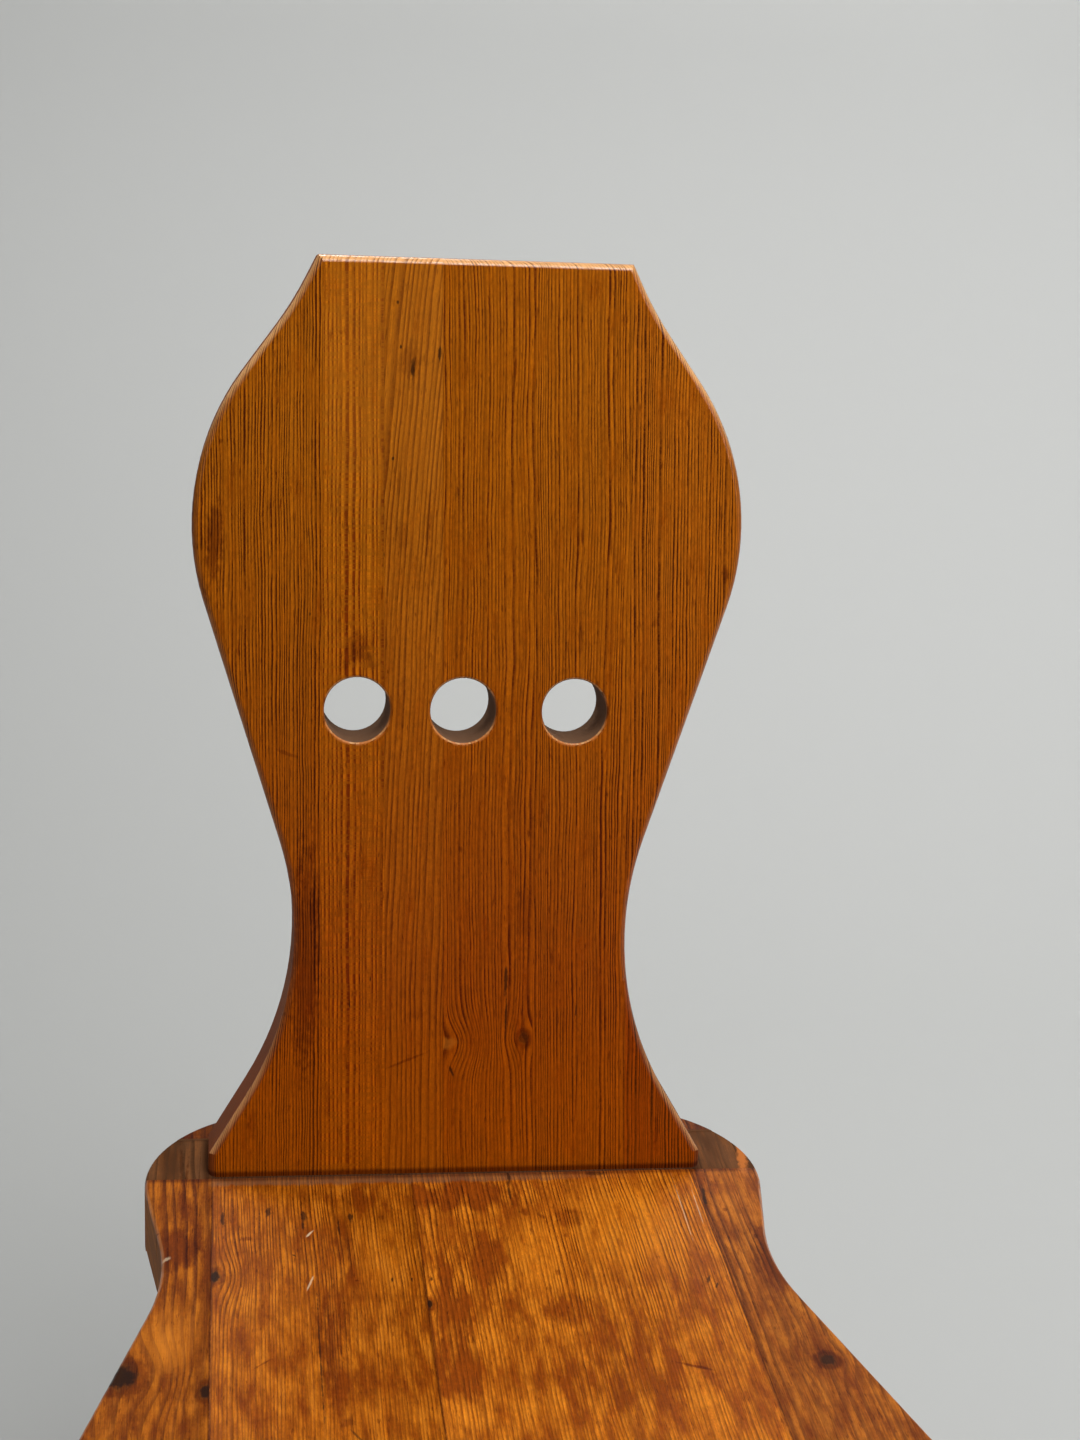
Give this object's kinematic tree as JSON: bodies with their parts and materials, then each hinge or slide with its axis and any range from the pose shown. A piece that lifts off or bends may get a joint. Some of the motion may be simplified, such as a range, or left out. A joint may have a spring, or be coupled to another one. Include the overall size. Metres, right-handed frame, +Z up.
{
  "type": "side chair",
  "caption": "Free-standing side chair in solid pine: a waisted, lightly scooped plank seat, a leaning plank back pierced by a row of round grip holes, and splayed legs set in battens.",
  "frame": {"origin": "on the floor, in the middle of the chair's overall length and width", "axes": "+X to the right as seen from in front of the seat looking at the back, +Y from the front edge of the seat to the back, +Z up"},
  "size_m": [0.4026, 0.4824, 0.9333],
  "materials": {
    "seat_pine": "aged, oiled pine, worn orange along the middle, darker red-brown streaks, low sheen",
    "back_pine": "varnished honey-orange pine with upright grain, satin, worn and darker near the foot",
    "batten_pine": "planed pine, thinly varnished",
    "leg_pine": "varnished honey-orange pine, satin",
    "wedge_wood": "bare hardwood, darkened with age"
  },
  "bodies": {
    "root": {"seat_board_1": "seat_pine", "seat_board_2": "seat_pine", "seat_board_3": "seat_pine", "seat_board_4": "seat_pine", "back_stave_1": "back_pine", "back_stave_2": "back_pine", "back_stave_3": "back_pine", "back_stave_4": "back_pine", "back_stave_5": "back_pine", "back_stave_6_upper": "back_pine", "back_stave_6_lower": "back_pine", "front_batten": "batten_pine", "rear_batten": "batten_pine", "leg_front_left": "leg_pine", "leg_front_right": "leg_pine", "leg_rear_left": "leg_pine", "leg_rear_right": "leg_pine", "wedge_front_left": "wedge_wood", "wedge_front_right": "wedge_wood", "wedge_rear_left": "wedge_wood", "wedge_rear_right": "wedge_wood", "back_key_left": "wedge_wood", "back_key_right": "wedge_wood"}
  },
  "joints": []
}
